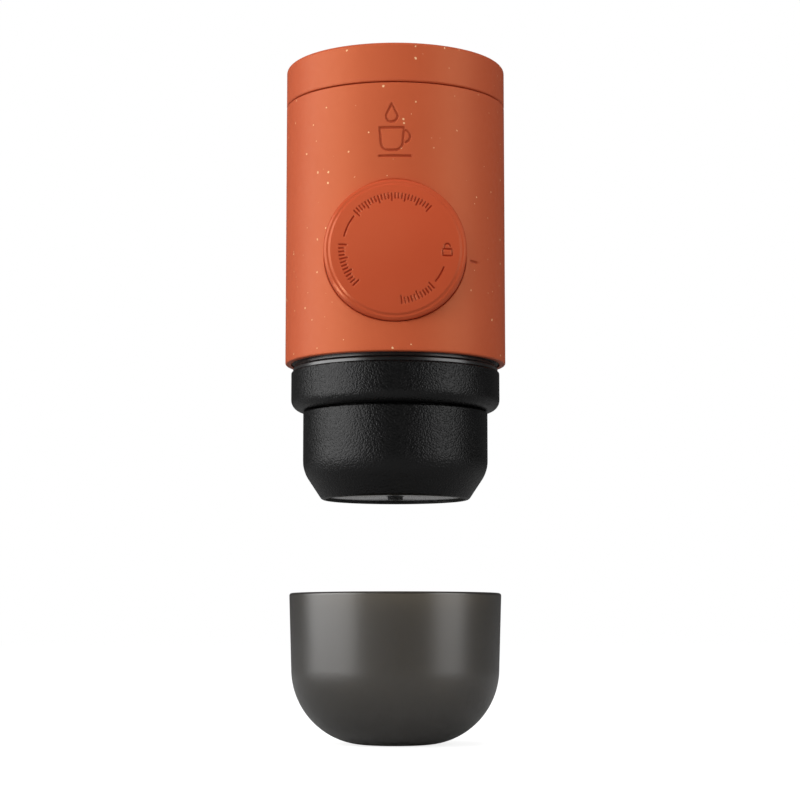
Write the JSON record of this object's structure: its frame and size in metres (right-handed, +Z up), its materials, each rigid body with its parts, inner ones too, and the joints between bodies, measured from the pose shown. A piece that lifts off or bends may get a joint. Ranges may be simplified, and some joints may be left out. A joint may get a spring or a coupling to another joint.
{
  "type": "manual espresso maker",
  "caption": "Handheld manual espresso maker: cylindrical body with a side push-knob pump, screw-on water tank and portafilter, and a rounded cap cup below.",
  "frame": {"origin": "where the body's upright axis crosses the pump's axis, at the height where the hand holds the body", "axes": "+Z up along the body; -Y out through the push knob; +X to the right of somebody facing the knob"},
  "size_m": [0.062, 0.066, 0.1902],
  "materials": {
    "orange_plastic": "satin moulded terracotta plastic with sparse pale flecks",
    "textured_black": "fine leather-like mould texture",
    "gloss_black": "polished",
    "black_plastic": "satin",
    "inner_plastic": "satin",
    "pump_plastic": "natural satin",
    "tank_plastic": "clear smoke",
    "smoke_plastic": "satin translucent smoke",
    "steel": "fine brushed",
    "brushed_plate": "satin spun",
    "spring_steel": "bright wire",
    "brass": "turned",
    "rubber": "matte",
    "silicone": "matte translucent"
  },
  "bodies": {
    "maker_body": {"body_sleeve": "orange_plastic", "chassis": "inner_plastic", "tank_socket": "inner_plastic", "knob_guide": "inner_plastic", "knob_stop_pads": "black_plastic", "pump_saddle": "inner_plastic", "pump_cylinder": "pump_plastic", "cylinder_cap": "pump_plastic", "pump_head": "pump_plastic", "inlet_valve_seat": "brass", "outlet_fitting": "brass", "intake_tube": "silicone", "outlet_tube": "silicone", "intake_filter": "steel", "vent_valve": "rubber", "water_channel_plate": "gloss_black", "group_head": "textured_black", "shower_screen": "steel", "shower_screw": "steel", "chassis_screws": "steel", "return_spring": "spring_steel", "inlet_spring": "spring_steel", "outlet_spring": "spring_steel"},
    "plunger": {"plunger_rod": "steel", "piston_head": "pump_plastic", "piston_seal": "rubber", "spring_seat": "black_plastic"},
    "knob": {"push_knob": "orange_plastic", "knob_lock_ring": "black_plastic", "knob_clip": "spring_steel"},
    "inlet_valve": {"inlet_poppet": "silicone"},
    "outlet_valve": {"outlet_poppet": "silicone"},
    "tank_seal_ring": {"tank_seal": "silicone"},
    "tank": {"water_tank": "tank_plastic", "tank_cover": "orange_plastic"},
    "basket_seal_ring": {"basket_gasket": "rubber"},
    "portafilter": {"portafilter_core": "black_plastic", "portafilter_skirt": "textured_black", "filter_basket": "steel", "basket_screen": "steel", "coffee_funnel": "black_plastic", "spout_nozzle": "black_plastic", "spout_plate": "brushed_plate"},
    "cup": {"cup": "smoke_plastic"}
  },
  "joints": [
    {"name": "piston_slide", "type": "slide", "parent": "maker_body", "child": "plunger", "axis": [0, -1, 0], "range_m": [0, 0.017], "stiffness_N_per_m": 200, "springref_m": 0.02, "deforming": ["return_spring"]},
    {"name": "knob_twist", "type": "hinge", "parent": "plunger", "child": "knob", "pos_m": [0, -0.035, 0], "axis": [0, 1, 0], "range_deg": [0, 60]},
    {"name": "inlet_valve_lift", "type": "slide", "parent": "maker_body", "child": "inlet_valve", "axis": [0, 0, -1], "range_m": [0, 0.0015], "stiffness_N_per_m": 40, "springref_m": -0.001, "deforming": ["inlet_spring"]},
    {"name": "outlet_valve_lift", "type": "slide", "parent": "maker_body", "child": "outlet_valve", "axis": [0, 0, -1], "range_m": [0, 0.0015], "stiffness_N_per_m": 40, "springref_m": -0.001, "deforming": ["outlet_spring"]},
    {"name": "tank_rise", "type": "slide", "parent": "maker_body", "child": "tank_seal_ring", "axis": [0, 0, 1], "range_m": [0, 0.009]},
    {"name": "tank_turn", "type": "hinge", "parent": "tank_seal_ring", "child": "tank", "pos_m": [0, 0, 0.0517], "axis": [0, 0, 1], "range_deg": [0, 270]},
    {"name": "portafilter_drop", "type": "slide", "parent": "maker_body", "child": "basket_seal_ring", "axis": [0, 0, -1], "range_m": [0, 0.009]},
    {"name": "portafilter_turn", "type": "hinge", "parent": "basket_seal_ring", "child": "portafilter", "pos_m": [0, 0, -0.053], "axis": [0, 0, -1], "range_deg": [0, 270]},
    {"name": "cup_lift", "type": "slide", "parent": "maker_body", "child": "cup", "axis": [0, 0, 1], "range_m": [0, 0.0505]}
  ],
  "couplings": [
    {"joint": "tank_rise", "follows": "tank_turn", "m_per_rad": 0.0019099},
    {"joint": "portafilter_drop", "follows": "portafilter_turn", "m_per_rad": 0.0019099}
  ]
}
